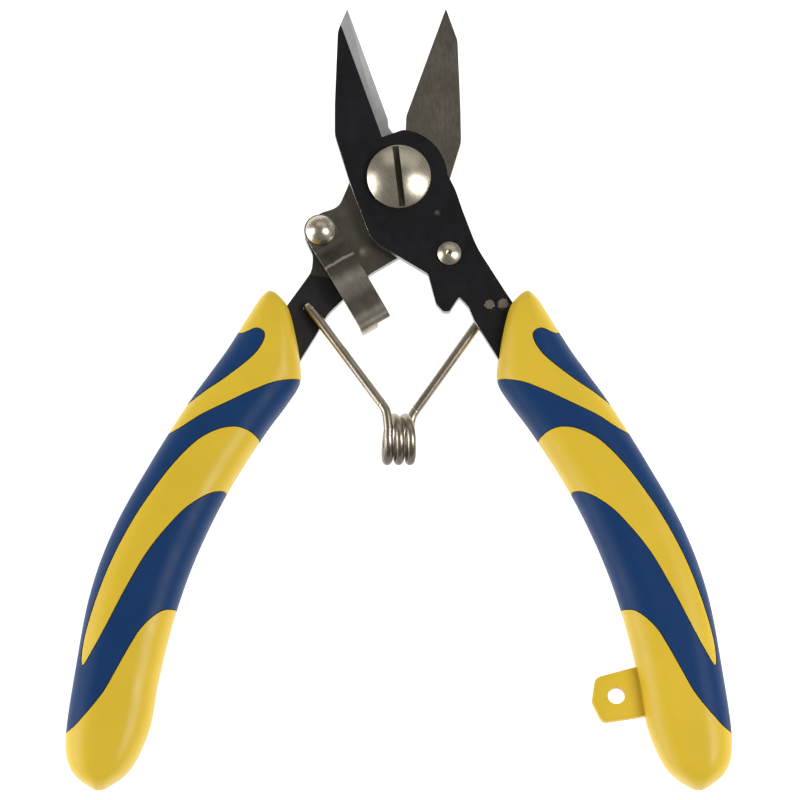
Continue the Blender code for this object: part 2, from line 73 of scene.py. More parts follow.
# Plates
TOP, UNDERSIDE, WALL, GROUND_BEVEL, CHAMFER = range(5)  # a plate's material slots
PLATE_EDGE = 0.26               # chamfer round the plates
FRONT_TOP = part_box("front_half")[1][2] / MM
REAR_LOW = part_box("rear_half")[0][2] / MM
REAR_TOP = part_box("rear_half")[1][2] / MM
STOP = (8.8, -13.5)
BLACKENED = (-4.0, 30.0, 48.1)  # circle (x, y, radius) outside which the rear half is black
BRIGHT_CENTRE = (1.0, 12.0)     # painted shade darkens the rear half's steel away from here
REAR_DIMPLE = (-6.0, -12.8)
FRONT_DIMPLE = (6.8, -6.3)
BARE_PATCH = (18.2, -22.4)      # rubbed metal beside the spring's hole
HOLE_REACH = 1.6                # radius round the spring's hole that stays black
HOLE_RADIUS = 0.9               # the spring's hole, closed in on the wire

# Fasteners
HEAD_BASE = FRONT_TOP + 0.05
HEAD_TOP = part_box("pivot_screw")[1][2] / MM
HEAD_RADIUS = 5.6
HEAD_SIDE = 0.95                # height of the pivot head's rim
SCREW_RADIUS = 2.5
PIN_RADIUS = 2.1
RIVET_RADIUS = 2.6
SMALL_HEAD_SIDE = 0.35          # height of the pin's and the rivet's rim
SLOT_WIDTH = 1.1
SLOT_DEPTH = 1.7
SLOT_LEAN = math.radians(6.6)
SLOT_EDGE = 0.12
RIM_ROUNDING = 0.22

# Latch
LATCH = from_pivot("latch_pivot")
LATCH_ANGLE = math.radians(-60)
LATCH_SHEET = 1.0
LATCH_HALF_WIDTH = 2.85
LATCH_LENGTH = 19.8
LATCH_RAMP = (3.6, 6.9)         # where the lever climbs onto the front half
LATCH_BEND = 1.9
LATCH_EDGE = 0.2
LATCH_HOLE_RADIUS = 1.35
TONGUE_TRIM = 2.6
LATCH_PAINTED_LIGHT = [                # distance from the rivet and brightness: bands of painted reflection and shade along the lever
    (0.0, 0.5), (4.0, 0.24), (6.3, 0.22), (6.7, 1.0), (7.1, 0.28), (8.2, 0.34), (10.4, 1.0),
    (12.2, 0.72), (14.6, 0.34), (16.2, 0.4), (17.4, 0.85), (18.6, 0.5), (19.6, 0.9),
]

# Spring
WIRE_RADIUS = 0.83
SPRING_EYE = from_pivot("spring_eye_pivot")
COIL_RADIUS = 3.72
COIL_Y = from_pivot("spring_coil_flex")[1] - COIL_RADIUS - WIRE_RADIUS
COIL_PITCH = 1.98
COIL_TURNS = 2.5
COIL_SKEW = 0.17
COIL_STEPS = 150
COIL_PAINTED_SHADE = (1.4, 3.4)         # depths below the coil's axis over which painted shade darkens it
EYE_BEND = 1.0
LEG_STEPS = 90
WIRE_GAP = 0.3                  # between the wire and the tangs
SHOULDER_RISE = 4.6             # from the coil's axis up to the bend into each leg

# Grips: pairs of points down the inner and the outer side of the right one
GRIP_RAILS = [
    ((21.7, -20.1), (22.7, -19.8)),
    ((19.3, -22.8), (24.4, -21.4)),
    ((17.9, -27.9), (26.4, -24.5)),
    ((17.1, -32.9), (28.9, -28.5)),
    ((17.2, -36.1), (30.6, -31.1)),
    ((19.4, -39.7), (33.2, -34.7)),
    ((23.6, -45.5), (36.9, -39.9)),
    ((29.8, -55.5), (43.0, -49.7)),
    ((35.1, -66.5), (49.5, -61.5)),
    ((38.8, -77.1), (53.7, -73.1)),
    ((41.5, -88.1), (56.2, -86.5)),
    ((43.1, -96.7), (57.8, -98.5)),
    ((46.4, -103.7), (56.7, -104.1)),
    ((51.0, -107.2), (52.6, -107.4)),
]
GRIP_THICK = 12.5
GRIP_STATIONS = 150
GRIP_SIDES = 72
GRIP_SQUARENESS = 2.7
GRIP_FLAT = 1.03
GRIP_LENGTH = 90                # roughly, to turn an inset into a share of the rails
GRIP_END_POWER = 9              # how late the grips thin towards their ends
GRIP_END_THICK = 0.8
GRIP_SKIN = 0.08                # keeps the finer sections inside the outline of the solid
PARTING_GROOVE = 0.07
GROOVE_ANGLES = (-0.028, -0.014, 0.014, 0.028)
SEAM = 0.07                     # half the gap between a grip and its inlay
INLAY_DEPTH = 1.0
INLAY_STEPS = 6                 # between two points of an inlay's outline

# Outlines of the right grip's inlays; they run past its sides where the inlay does
TEARDROP = [(30.5, -26.8), (27.4, -27.9), (24.7, -27.2), (23.3, -28.5), (25.0, -31.7),
            (29.5, -35.4), (33.2, -37.8), (38.5, -40.7), (42.0, -37.3)]
BAND = [(12.0, -35.9), (19.9, -36.3), (25.0, -38.0), (29.5, -40.1), (34.1, -42.3), (40.5, -45.5),
        (48.0, -44.3), (64.0, -72.3), (64.0, -99.8), (57.5, -97.6), (54.6, -95.2), (51.2, -91.1),
        (48.8, -86.9), (46.5, -82.8), (44.4, -79.6), (41.2, -76.8), (36.0, -74.3), (27.0, -60.3),
        (28.6, -56.2), (32.0, -55.9), (36.5, -58.5), (40.1, -62.1), (43.7, -66.7), (47.2, -72.7),
        (50.3, -78.7), (52.8, -83.3), (54.8, -86.2), (54.6, -81.9), (52.7, -75.2), (49.8, -67.8),
        (46.1, -60.8), (42.5, -55.4), (39.0, -50.9), (35.3, -47.2), (32.3, -45.4), (29.3, -44.6),
        (26.2, -45.1), (20.0, -48.3), (12.0, -44.3)]

# Lanyard tab
TAB_THICK = 3.0
TAB_CORNERS = [(45.0, -84.9, 0), (34.0, -87.9, 1.6), (33.4, -92.1, 1.6), (35.2, -95.7, 1.4),
               (45.5, -94.1, 0)]
TAB_HOLE = (37.7, -91.0)
TAB_HOLE_RADIUS = 1.5
TAB_EDGE = 0.45

# Camera and light, in metres and watts
CAMERA_ELEVATION = math.radians(81)
CAMERA_DISTANCE = 1.6
CAMERA_TARGET = Vector((0.0002, -0.00045, 0.006))
CAMERA_LENS = 413.0
FLOOR_LEVEL = -0.0003           # just under the grips' flats, which would flicker in the floor
FLOOR_HALF_WIDTH = 3
FLOOR_GREY = 0.5
FLOOR_GLOW = 0.95
WORLD_STRENGTH = 0.2
SOFTBOXES = [                   # name, location, size and power
    ("right_key", (0.553, -0.086, 0.643), (0.36, 0.36), 4.4),
    ("left_fill", (-0.72, -0.02, 0.42), (0.46, 0.2), 1.6),
    ("left_low", (-0.75, -0.16, 0.12), (0.7, 0.2), 2.4),
    ("back_panel", (0.1, 0.85, 0.7), (1.4, 0.7), 1.4),
]


def place(x, y, z=0.0):
    """A point of the design in metres in the frame."""
    return Vector((PIVOT.x + x * MM, PIVOT.y + y * MM, z * MM))


# Materials


class Nodes:
    """A node material that is built up by short calls."""

    def __init__(self, name):
        self.material = bpy.data.materials.new(name)
        self.material.use_nodes = True
        self.tree = self.material.node_tree
        self.shader = self.tree.nodes["Principled BSDF"]
        self.coordinates = self.add("ShaderNodeTexCoord").outputs["Object"]

    def add(self, kind, **settings):
        node = self.tree.nodes.new(kind)
        for key, value in settings.items():
            setattr(node, key, value)
        return node

    def link(self, source, target):
        self.tree.links.new(source, target)

    def set(self, **values):
        """Sets sockets of the shader, such as Base_Color for Base Color."""
        for key, value in values.items():
            self.shader.inputs[key.replace("_", " ")].default_value = value
        return self

    def stretched(self, scale, turn=0.0):
        """Object coordinates turned about Z, then scaled along each axis."""
        turned = self.add("ShaderNodeMapping", vector_type="POINT")
        turned.inputs["Rotation"].default_value = (0, 0, turn)
        scaled = self.add("ShaderNodeMapping", vector_type="POINT")
        scaled.inputs["Scale"].default_value = scale
        self.link(self.coordinates, turned.inputs["Vector"])
        self.link(turned.outputs["Vector"], scaled.inputs["Vector"])
        return scaled.outputs["Vector"]

    def noise(self, scale, detail=4.0, roughness=0.6, vector=None):
        node = self.add("ShaderNodeTexNoise")
        node.inputs["Scale"].default_value = scale
        node.inputs["Detail"].default_value = detail
        node.inputs["Roughness"].default_value = roughness
        self.link(vector or self.coordinates, node.inputs["Vector"])
        return node.outputs["Fac"]

    def ramp(self, source, low, high, start=0.0, end=1.0):
        """Maps source from start..end to low..high, which are numbers or colours."""
        if isinstance(low, tuple):
            node = self.add("ShaderNodeValToRGB")
            first, last = node.color_ramp.elements
            first.position, last.position = start, end
            first.color, last.color = (*low, 1), (*high, 1)
            self.link(source, node.inputs["Fac"])
            return node.outputs["Color"]
        node = self.add("ShaderNodeMapRange")
        limits = {"From Min": start, "From Max": end, "To Min": low, "To Max": high}
        for key, value in limits.items():
            node.inputs[key].default_value = value
        self.link(source, node.inputs["Value"])
        return node.outputs["Result"]

    def math(self, operation, a, b):
        node = self.add("ShaderNodeMath", operation=operation)
        for socket, value in zip(node.inputs, (a, b)):
            if isinstance(value, (int, float)):
                socket.default_value = value
            else:
                self.link(value, socket)
        return node.outputs["Value"]

    def mix(self, factor, a, b, blend="MIX"):
        """Mixes two colours. The factor is a socket or a number."""
        node = self.add("ShaderNodeMix", data_type="RGBA", blend_type=blend)
        if isinstance(factor, float):
            node.inputs[0].default_value = factor
        else:
            self.link(factor, node.inputs[0])
        for socket, value in ((node.inputs[6], a), (node.inputs[7], b)):
            if isinstance(value, tuple):
                socket.default_value = (*value, 1)
            else:
                self.link(value, socket)
        return node.outputs[2]

    def bump(self, height, strength, distance, below=None):
        """Bump over the surface, or over another bump."""
        node = self.add("ShaderNodeBump")
        node.inputs["Strength"].default_value = strength
        node.inputs["Distance"].default_value = distance
        self.link(height, node.inputs["Height"])
        if below:
            self.link(below, node.inputs["Normal"])
        self.link(node.outputs["Normal"], self.shader.inputs["Normal"])
        return node.outputs["Normal"]

    def distance(self, x, y):
        """Distance in metres from an upright axis at a point of the design."""
        flat = self.add("ShaderNodeVectorMath", operation="MULTIPLY")
        flat.inputs[1].default_value = (1, 1, 0)
        self.link(self.coordinates, flat.inputs[0])
        node = self.add("ShaderNodeVectorMath", operation="DISTANCE")
        node.inputs[1].default_value = place(x, y)
        self.link(flat.outputs["Vector"], node.inputs[0])
        return node.outputs["Value"]

    def along(self, start, angle):
        """Distance in metres from a point of the design, in a direction about Z."""
        node = self.add("ShaderNodeVectorMath", operation="SUBTRACT")
        node.inputs[1].default_value = place(*start)
        self.link(self.coordinates, node.inputs[0])
        dot = self.add("ShaderNodeVectorMath", operation="DOT_PRODUCT")
        dot.inputs[1].default_value = (math.cos(angle), math.sin(angle), 0)
        self.link(node.outputs["Vector"], dot.inputs[0])
        return dot.outputs["Value"]

    def greys(self, source, stops):
        """A ramp of brightness through stops (position, value)."""
        node = self.add("ShaderNodeValToRGB")
        node.color_ramp.interpolation = "EASE"
        elements = node.color_ramp.elements
        while len(elements) < len(stops):
            elements.new(0.5)
        for element, (position, value) in zip(elements, stops):
            element.position = position
            element.color = (value, value, value, 1)
        self.link(source, node.inputs["Fac"])
        return node.outputs["Color"]


def plastic(name, dark, light, roughness, grain, gloss):
    """Moulded plastic: slightly uneven colour, a fine mould texture and faint handling marks."""
    nodes = Nodes(name)
    nodes.set(Metallic=0.0, IOR=1.5, Specular_IOR_Level=gloss)
    tint = nodes.noise(90, 3, 0.55)
    nodes.link(nodes.ramp(tint, dark, light, 0.3, 0.7), nodes.shader.inputs["Base Color"])
    rub = nodes.noise(260, 5, 0.7)
    uneven = nodes.ramp(rub, roughness - 0.06, roughness + 0.08, 0.3, 0.7)
    nodes.link(uneven, nodes.shader.inputs["Roughness"])
    fine = nodes.bump(nodes.noise(5200, 2, 0.5), grain, 0.00004)
    nodes.bump(nodes.noise(420, 2, 0.5), 0.10, 0.00012, fine)
    return nodes.material


def oxide_colour(nodes, dark, light):
    """Cloudy black oxide with small rubbed specks."""
    cloud = nodes.noise(170, 5, 0.6)
    base = nodes.ramp(cloud, dark, light, 0.3, 0.75)
    speck = nodes.ramp(nodes.noise(1900, 3, 0.7), 0.0, 1.0, 0.68, 0.8)
    return nodes.mix(speck, base, (0.06, 0.057, 0.052))


def black_oxide():
    """Blackened steel with a dimple and a bare patch beside the spring's hole."""
    nodes = Nodes("black_oxide_steel")
    nodes.set(Metallic=0.7)
    wobble = nodes.math("MULTIPLY", nodes.noise(900, 4, 0.7), 1.6 * MM)
    ragged = nodes.math("ADD", nodes.distance(*BARE_PATCH), wobble)
    patch = nodes.ramp(ragged, 1.0, 0.0, 1.55 * MM, 1.8 * MM)
    dimple = nodes.ramp(nodes.distance(*FRONT_DIMPLE), 1.0, 0.0, 0.25 * MM, 0.6 * MM)
    oxide = oxide_colour(nodes, (0.010, 0.010, 0.012), (0.020, 0.020, 0.023))
    colour = nodes.mix(patch, oxide, (0.22, 0.19, 0.15))
    colour = nodes.mix(nodes.math("MULTIPLY", dimple, 0.25), colour, (0.3, 0.27, 0.26))
    nodes.link(colour, nodes.shader.inputs["Base Color"])
    uneven = nodes.ramp(nodes.noise(700, 4, 0.6), 0.42, 0.56, 0.3, 0.7)
    nodes.link(uneven, nodes.shader.inputs["Roughness"])
    fine = nodes.bump(nodes.noise(3800, 3, 0.6), 0.22, 0.00003)
    pit = nodes.ramp(nodes.distance(*FRONT_DIMPLE), 0.0, 1.0, 0.0, 0.6 * MM)
    nodes.bump(pit, 0.6, 0.0002, fine)
    return nodes.material


def ground_blade():
    """Dark ground steel of the rear half, blackened again on its tang, with a dimple, and painted
    shade that darkens it away from BRIGHT_CENTRE.
    """
    nodes = Nodes("ground_steel")
    nodes.set(Metallic=0.9)
    lines = nodes.noise(1.0, 4, 0.6, nodes.stretched((5200, 700, 700), -0.12))
    cloud = nodes.noise(210, 4, 0.6)
    both = nodes.math("ADD", nodes.math("MULTIPLY", lines, 0.3), nodes.math("MULTIPLY", cloud, 0.7))
    steel = nodes.ramp(both, (0.155, 0.13, 0.1), (0.2, 0.185, 0.15), 0.36, 0.64)
    # Painted shade: the steel darkens away from BRIGHT_CENTRE
    low = nodes.ramp(nodes.distance(*BRIGHT_CENTRE), 0.0, 0.55, 14 * MM, 26 * MM)
    steel = nodes.mix(low, steel, (0.07, 0.066, 0.05))
    dimple = nodes.ramp(nodes.distance(*REAR_DIMPLE), 0.7, 0.0, 0.3 * MM, 1.2 * MM)
    steel = nodes.mix(dimple, steel, (0.3, 0.26, 0.2))
    x, y, radius = BLACKENED
    black = nodes.ramp(nodes.distance(x, y), 0.0, 1.0, (radius - 0.12) * MM, (radius + 0.12) * MM)
    oxide = oxide_colour(nodes, (0.036, 0.034, 0.037), (0.060, 0.057, 0.061))
    nodes.link(nodes.mix(black, steel, oxide), nodes.shader.inputs["Base Color"])
    nodes.link(nodes.ramp(lines, 0.38, 0.52, 0.35, 0.65), nodes.shader.inputs["Roughness"])
    fine = nodes.bump(lines, 0.25, 0.00002)
    pit = nodes.ramp(nodes.distance(*REAR_DIMPLE), 0.0, 1.0, 0.0, 0.9 * MM)
    nodes.bump(pit, 0.5, 0.0002, fine)
    return nodes.material


def brushed(name, dark, light, roughness, turn, streak=0.35, painted_light=None):
    """Steel with fine parallel lines at an angle about Z. The optional bands darken it along the
    latch, leaving lighter ones: painted reflections and shade.
    """
    nodes = Nodes(name)
    nodes.set(Metallic=1.0)
    lines = nodes.noise(1.0, 4, 0.7, nodes.stretched((900, 9000, 900), -turn))
    broad = nodes.noise(1.0, 3, 0.6, nodes.stretched((120, 420, 120), -turn))
    both = nodes.math("ADD", nodes.math("MULTIPLY", lines, 0.45),
                      nodes.math("MULTIPLY", broad, 0.55))
    colour = nodes.ramp(both, dark, light, 0.36, 0.64)
    # Painted reflections and shade: bands that darken the colour along the latch
    if painted_light:
        spot = nodes.ramp(nodes.along(LATCH, turn), 0.0, 1.0, 0.0, LATCH_LENGTH * MM)
        wobble = nodes.math("MULTIPLY", nodes.math("SUBTRACT", broad, 0.5), 0.05)
        stops = [(at / LATCH_LENGTH, value) for at, value in painted_light]
        painted_shade = nodes.greys(nodes.math("ADD", spot, wobble), stops)
        colour = nodes.mix(1.0, colour, painted_shade, "MULTIPLY")
    nodes.link(colour, nodes.shader.inputs["Base Color"])
    uneven = nodes.ramp(lines, roughness - 0.07, roughness + 0.1, 0.35, 0.65)
    nodes.link(uneven, nodes.shader.inputs["Roughness"])
    nodes.bump(lines, streak, 0.00002)
    return nodes.material


def plated(name, dark, light, roughness, painted_coil_shade=False):
    """Plated metal with small scratches, and painted shade that darkens the dimple in the stop pin.

    If the flag is set, painted shade darkens the underside of the spring's coil.
    """
    nodes = Nodes(name)
    nodes.set(Metallic=1.0)
    cloud = nodes.noise(340, 4, 0.6)
    # Painted shade in the dimple of the stop pin's head
    dimple = nodes.ramp(nodes.distance(*STOP), 1.0, 0.0, 0.15 * MM, 0.5 * MM)
    colour = nodes.mix(dimple, nodes.ramp(cloud, dark, light, 0.3, 0.7), (0.05, 0.045, 0.04))
    # Painted shade on the underside of the spring's coil
    if painted_coil_shade:
        below = nodes.along((0, COIL_Y), -math.pi / 2)
        low = nodes.ramp(below, 0.0, 0.82, COIL_PAINTED_SHADE[0] * MM, COIL_PAINTED_SHADE[1] * MM)
        colour = nodes.mix(low, colour, (0.055, 0.052, 0.045))
    nodes.link(colour, nodes.shader.inputs["Base Color"])
    scratch = nodes.noise(1.0, 3, 0.7, nodes.stretched((500, 5200, 500), 0.7))
    uneven = nodes.ramp(scratch, roughness - 0.03, roughness + 0.05, 0.4, 0.7)
    nodes.link(uneven, nodes.shader.inputs["Roughness"])
    nodes.bump(scratch, 0.04, 0.00002)
    return nodes.material


def make_materials():
    return {
        "yellow": plastic("yellow_plastic", (0.775, 0.527, 0.028), (0.815, 0.557, 0.034),
                          0.42, 0.25, 0.4),
        "blue": plastic("blue_elastomer", (0.0055, 0.039, 0.136), (0.007, 0.044, 0.152),
                        0.46, 0.4, 0.18),
        "black": black_oxide(),
        "ground": ground_blade(),
        "bevel": brushed("ground_bevel", (0.34, 0.34, 0.34), (0.43, 0.43, 0.42), 0.42, 1.2),
        # Bare steel for the edges that face left: partly real, partly a painted highlight on that
        # side
        "edge": plated("bare_edge_and_painted_highlight", (0.50, 0.48, 0.45), (0.62, 0.60, 0.57), 0.3),
        "nickel": plated("nickel_plate", (0.56, 0.50, 0.385), (0.66, 0.60, 0.47), 0.3),
        "wall": plated("plate_wall", (0.34, 0.33, 0.33), (0.42, 0.41, 0.41), 0.42),
        # Painted shade for the floor of the screw's slot
        "slot": plated("slot_floor_painted_shade", (0.05, 0.045, 0.035), (0.09, 0.08, 0.065), 0.6),
        "latch": brushed("latch_sheet", (0.42, 0.38, 0.31), (0.56, 0.51, 0.42),
                         0.36, LATCH_ANGLE, 0.2, LATCH_PAINTED_LIGHT),
        "wire": plated("spring_wire", (0.36, 0.31, 0.245), (0.46, 0.41, 0.33), 0.33, True),
    }


# Shape helpers


def object_from_bmesh(name, shape):
    bmesh.ops.recalc_face_normals(shape, faces=shape.faces)
    mesh = bpy.data.meshes.new(name)
    shape.to_mesh(mesh)
    shape.free()
    piece = bpy.data.objects.new(name, mesh)
    bpy.context.scene.collection.objects.link(piece)
    return piece


def helper(piece):
    """A cutter: kept out of sight until baked() removes it."""
    piece.hide_render = True
    piece.hide_viewport = True
    return piece


def boolean(piece, cutter, operation="DIFFERENCE"):
    modifier = piece.modifiers.new(cutter.name, "BOOLEAN")
    modifier.operation = operation
    modifier.object = cutter


def baked(piece):
    """Applies the modifiers, then removes the cutters that they used."""
    cutters = [m.object for m in piece.modifiers if m.type == "BOOLEAN"]
    bpy.context.view_layer.update()
    graph = bpy.context.evaluated_depsgraph_get()
    mesh = bpy.data.meshes.new_from_object(piece.evaluated_get(graph))
    mesh.name = piece.name
    piece.modifiers.clear()
    piece.data = mesh
    for cutter in cutters:
        bpy.data.objects.remove(cutter)
    return piece


def dress(piece, *keys):
    """Gives the piece these materials in place of its own."""
    piece.data.materials.clear()
    for key in keys:
        piece.data.materials.append(materials[key])


def complete(piece, body, node, smooth=35):
    """Shades the piece and enters it in the model in place of a node."""
    piece.data.shade_smooth()
    piece.data.set_sharp_from_angle(angle=math.radians(smooth))
    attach(piece, body)
    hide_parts(node)


def add_bevel(piece, width, segments, angle=None, material=-1):
    """Bevels edges sharper than an angle in degrees, or those that have a bevel weight."""
    bevel = piece.modifiers.new("edges", "BEVEL")
    bevel.width = width * MM
    bevel.segments = segments
    bevel.limit_method = "ANGLE" if angle else "WEIGHT"
    if angle:
        bevel.angle_limit = math.radians(angle)
    bevel.material = material


def smooth_rail(points, t):
    """The point at t, from 0 to 1, on a Catmull-Rom curve through the points."""
    spot = t * (len(points) - 1)
    i = min(int(spot), len(points) - 2)
    t = spot - i
    p0, p1, p2, p3 = [Vector(points[min(max(k, 0), len(points) - 1)]) for k in range(i - 1, i + 3)]
    bend = 2 * p0 - 5 * p1 + 4 * p2 - p3
    twist = 3 * p1 - p0 - 3 * p2 + p3
    return p1 + 0.5 * t * (p2 - p0 + t * (bend + t * twist))


def smooth_loop(points, steps):
    """A closed Catmull-Rom curve through the points."""
    outline = []
    for i in range(len(points)):
        near = [points[(i + k) % len(points)] for k in (-1, 0, 1, 2)]
        outline += [smooth_rail(near, (1 + step / steps) / 3) for step in range(steps)]
    return outline


def rounded(points, steps):
    """Corner points (x, y, radius) turned into an outline whose corners are arcs."""
    outline = []
    for i, (x, y, radius) in enumerate(points):
        corner = Vector((x, y))
        before = Vector(points[i - 1][:2]) - corner
        after = Vector(points[(i + 1) % len(points)][:2]) - corner
        turn = math.pi - before.angle(after)
        if radius == 0 or turn < 0.02:
            outline.append(corner)
            continue
        reach = min(radius * math.tan(turn / 2), 0.48 * before.length, 0.48 * after.length)
        start = corner + before.normalized() * reach
        end = corner + after.normalized() * reach
        for step in range(steps + 1):
            t = step / steps
            outline.append(start * (1 - t) ** 2 + corner * 2 * t * (1 - t) + end * t * t)
    return outline


def grown(outline, distance):
    """The outline moved out by a distance, along the mean normal of its sides."""
    area = sum(a.cross(b) for a, b in zip(outline, outline[1:] + outline[:1]))
    side = 1 if area > 0 else -1
    moved = []
    for i, point in enumerate(outline):
        along = (point - outline[i - 1]).normalized()
        onward = (outline[(i + 1) % len(outline)] - point).normalized()
        normal = Vector((along.y + onward.y, -along.x - onward.x))
        if normal.length < 0.2:
            normal = along
        moved.append(point + normal.normalized() * distance * side)
    return moved


def prism(name, outline, low, high):
    """An upright solid over an outline."""
    shape = bmesh.new()
    floor = shape.faces.new([shape.verts.new(place(p.x, p.y, low)) for p in outline])
    top = bmesh.ops.extrude_face_region(shape, geom=[floor])
    bmesh.ops.translate(shape, vec=(0, 0, (high - low) * MM),
                        verts=[v for v in top["geom"] if isinstance(v, bmesh.types.BMVert)])
    return object_from_bmesh(name, shape)


def cylinder(name, at, low, high, radius, sides=64):
    shape = bmesh.new()
    bmesh.ops.create_cone(shape, cap_ends=True, segments=sides, radius1=radius * MM,
                          radius2=radius * MM, depth=(high - low) * MM)
    bmesh.ops.translate(shape, verts=shape.verts, vec=place(at[0], at[1], (low + high) / 2))
    return object_from_bmesh(name, shape)


def turned(name, profile, at, steps=72):
    """A solid of revolution about a vertical axis. The profile (radius, z) runs downwards."""
    shape = bmesh.new()
    centre = place(*at)
    line = [shape.verts.new(centre + Vector((r, 0, z)) * MM) for r, z in profile]
    edges = [shape.edges.new(pair) for pair in zip(line, line[1:])]
    bmesh.ops.spin(shape, geom=line + edges, cent=centre, axis=(0, 0, 1), angle=2 * math.pi,
                   steps=steps, use_merge=True)
    bmesh.ops.remove_doubles(shape, verts=shape.verts, dist=1e-7)
    return object_from_bmesh(name, shape)


def dome(radius, base, top, side, steps=20):
    """Profile of a head from the top of its crown over a rounded rim and down its side."""
    rise = top - base
    lean = math.atan(2 * (rise - side) / radius)
    inner = radius - RIM_ROUNDING * (1 - math.sin(lean))
    crown = [(inner * i / steps, base + rise - (rise - side) * (i / steps) ** 2)
             for i in range(steps)]
    centre = Vector((radius - RIM_ROUNDING, base + side - RIM_ROUNDING * math.cos(lean)))
    turns = [lean + (math.pi / 2 - lean) * i / 5 for i in range(6)]
    rim = [tuple(centre + Vector((math.sin(a), math.cos(a))) * RIM_ROUNDING) for a in turns]
    return crown + rim + [(radius, base + 0.12), (radius - 0.12, base)]


# Blades and tangs


def plate_from_cad(node, hole):
    """A copy of a plate's solid whose flat faces are whole again, marked for a chamfer.

    The spring's hole closes in on the wire and gets no chamfer.
    """
    source = frame["nodes"][node]
    shape = bmesh.new()
    shape.from_mesh(source.data)
    shape.transform(source.matrix_world)
    bmesh.ops.remove_doubles(shape, verts=shape.verts, dist=1e-6)
    bmesh.ops.dissolve_limit(shape, angle_limit=math.radians(0.4), verts=shape.verts,
                             edges=shape.edges)
    weight = shape.edges.layers.float.new("bevel_weight_edge")
    for edge in shape.edges:
        apart = min((vertex.co - hole).xy.length for vertex in edge.verts) > HOLE_REACH * MM
        edge[weight] = float(apart and edge.calc_face_angle(0) > math.radians(40))
    for vertex in shape.verts:
        offset = (vertex.co - hole).xy
        if offset.length < HOLE_REACH * MM:
            vertex.co.xy = hole.xy + offset.normalized() * HOLE_RADIUS * MM
    return object_from_bmesh(node + "_plate", shape)


def make_plate(node, body, faces):
    """faces gives the materials in the order TOP, UNDERSIDE, WALL, GROUND_BEVEL, CHAMFER.

    Only a chamfer that looks up and to the left, towards the latch, is bare bright steel: a painted
    highlight on that side.
    """
    hole = place(-SPRING_EYE[0] if body == "rear" else SPRING_EYE[0], SPRING_EYE[1])
    piece = plate_from_cad(node, hole)
    dress(piece, *faces)
    for polygon in piece.data.polygons:
        up = polygon.normal.z
        if abs(up) < 0.05:
            polygon.material_index = WALL
        elif abs(up) < 0.97:
            polygon.material_index = GROUND_BEVEL
        else:
            polygon.material_index = TOP if up > 0 else UNDERSIDE
    add_bevel(piece, PLATE_EDGE, 1, material=CHAMFER)
    baked(piece)
    # Painted highlight: only chamfers facing up and to the left keep the bright material
    for polygon in piece.data.polygons:
        at_hole = (polygon.center - hole).xy.length < HOLE_REACH * MM
        turned_away = polygon.normal.x > -0.2 or polygon.normal.z < 0
        if at_hole or polygon.material_index == CHAMFER and turned_away:
            polygon.material_index = TOP
    complete(piece, body, node, 25)


# Fasteners


def make_pivot():
    """The slotted screw. The floor of its slot has a darker material, painted shade in the slot."""
    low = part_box("pivot_screw")[0][2] / MM
    profile = dome(HEAD_RADIUS, HEAD_BASE, HEAD_TOP, HEAD_SIDE)
    profile += [(SCREW_RADIUS, HEAD_BASE), (SCREW_RADIUS, low + 0.3), (2.2, low), (0, low)]
    screw = turned("pivot_screw_head", profile, (0, 0))
    shape = bmesh.new()
    bmesh.ops.create_cube(shape, size=1)
    size = Vector((SLOT_WIDTH, 15, 2 * SLOT_DEPTH)) * MM
    bmesh.ops.scale(shape, verts=shape.verts, vec=size)
    turn = Matrix.Rotation(SLOT_LEAN, 3, "Z")
    bmesh.ops.rotate(shape, verts=shape.verts, cent=(0, 0, 0), matrix=turn)
    bmesh.ops.translate(shape, verts=shape.verts, vec=place(0, 0, HEAD_TOP))
    boolean(screw, helper(object_from_bmesh("slot_cutter", shape)))
    baked(screw)
    dress(screw, "nickel", "slot")
    across = Vector((math.cos(SLOT_LEAN), math.sin(SLOT_LEAN), 0))
    floor = (HEAD_TOP - SLOT_DEPTH + 0.02) * MM
    for face in screw.data.polygons:
        inside = abs((face.center - PIVOT).dot(across)) < (SLOT_WIDTH / 2 + 0.02) * MM
        level = HEAD_BASE * MM < face.center.z < floor and abs(face.normal.z) > 0.9
        face.material_index = int(inside and level)
    add_bevel(screw, SLOT_EDGE, 2, 50, 0)
    complete(screw, "front", "pivot_screw", 30)


def make_stop_pin():
    """The pin, whose head has a small dimple in its middle."""
    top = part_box("stop_pin")[1][2] / MM
    profile = [(0, top - 0.18), (0.2, top - 0.14), (0.36, top - 0.04), (0.5, top)]
    head = dome(PIN_RADIUS, HEAD_BASE, top, SMALL_HEAD_SIDE)
    profile += [(radius, z) for radius, z in head if radius > 0.6]
    profile += [(1.5, HEAD_BASE), (1.5, REAR_LOW + 0.1), (1.4, REAR_LOW), (0, REAR_LOW)]
    pin = turned("stop_pin_head", profile, STOP)
    dress(pin, "nickel")
    complete(pin, "front", "stop_pin", 45)


def make_latch_rivet():
    """The rivet from its domed head down to its foot behind the rear half."""
    low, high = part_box("latch_rivet")[0][2] / MM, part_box("latch_rivet")[1][2] / MM
    base = REAR_TOP + LATCH_SHEET + 0.45
    foot = REAR_LOW - 0.05
    profile = dome(RIVET_RADIUS, base, high, SMALL_HEAD_SIDE)
    profile += [(1.2, base), (1.2, foot), (2.1, foot), (2.0, foot - 0.35), (1.5, low), (0, low)]
    rivet = turned("latch_rivet_head", profile, LATCH)
    dress(rivet, "nickel")
    complete(rivet, "rear", "latch_rivet", 40)


# Latch


